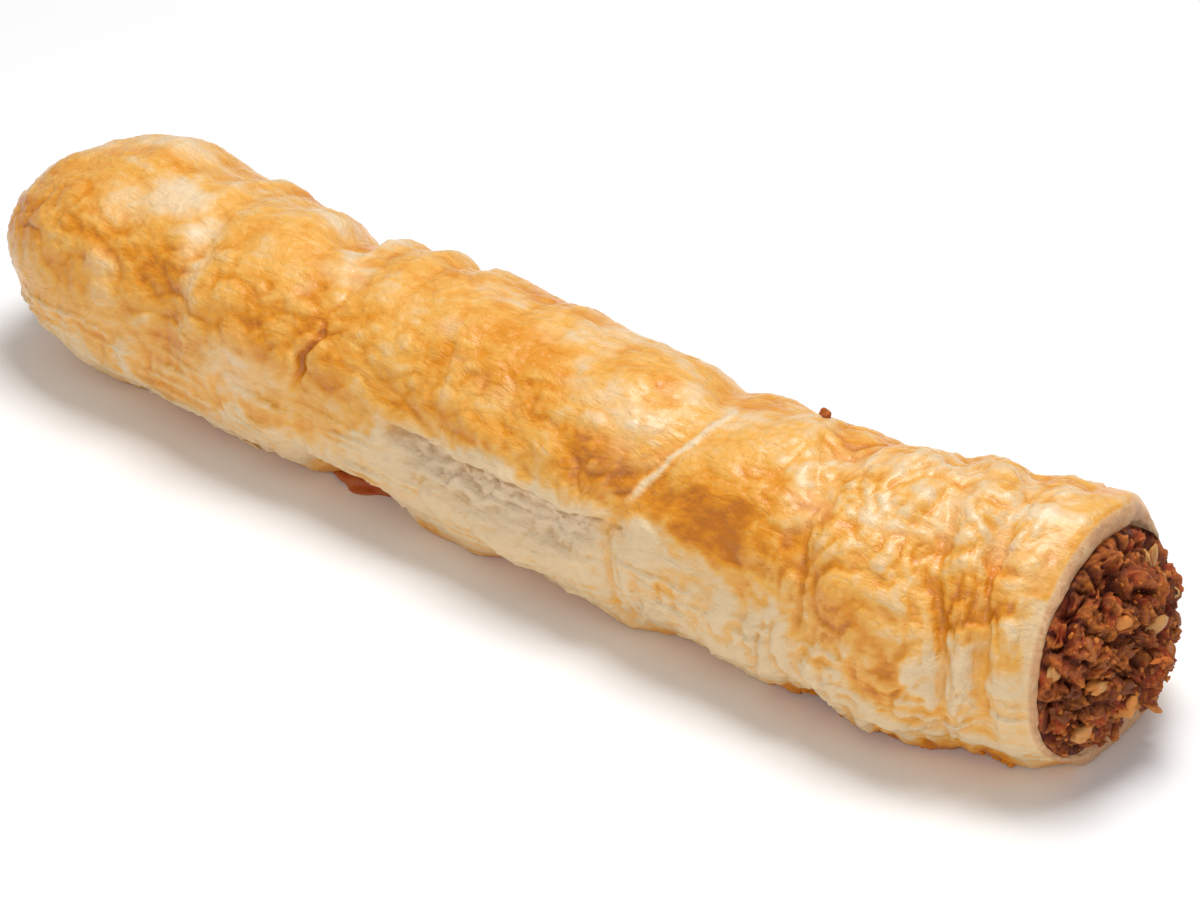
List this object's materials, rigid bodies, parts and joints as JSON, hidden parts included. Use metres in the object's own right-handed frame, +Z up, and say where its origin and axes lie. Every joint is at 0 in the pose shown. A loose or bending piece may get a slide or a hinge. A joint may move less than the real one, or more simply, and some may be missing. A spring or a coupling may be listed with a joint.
{
  "type": "sausage roll",
  "caption": "Long baked puff pastry roll, scored across the top, wrapped round a minced meat filling that bulges out of its cut end.",
  "frame": {"origin": "bottom centre of the bounding box, at the level of the surface the roll rests on", "axes": "+X runs along the roll towards its cut end, -Y is the front with the burst side, +Z is up"},
  "size_m": [0.2358, 0.052, 0.0421],
  "materials": {
    "baked_pastry": "baked puff pastry, egg-washed to a soft gloss, golden brown on top and pale cream at the sides",
    "minced_filling": "roasted minced meat, coarse and slightly moist, reddish brown"
  },
  "bodies": {
    "root": {"crust": "baked_pastry", "filling": "minced_filling"}
  },
  "joints": []
}
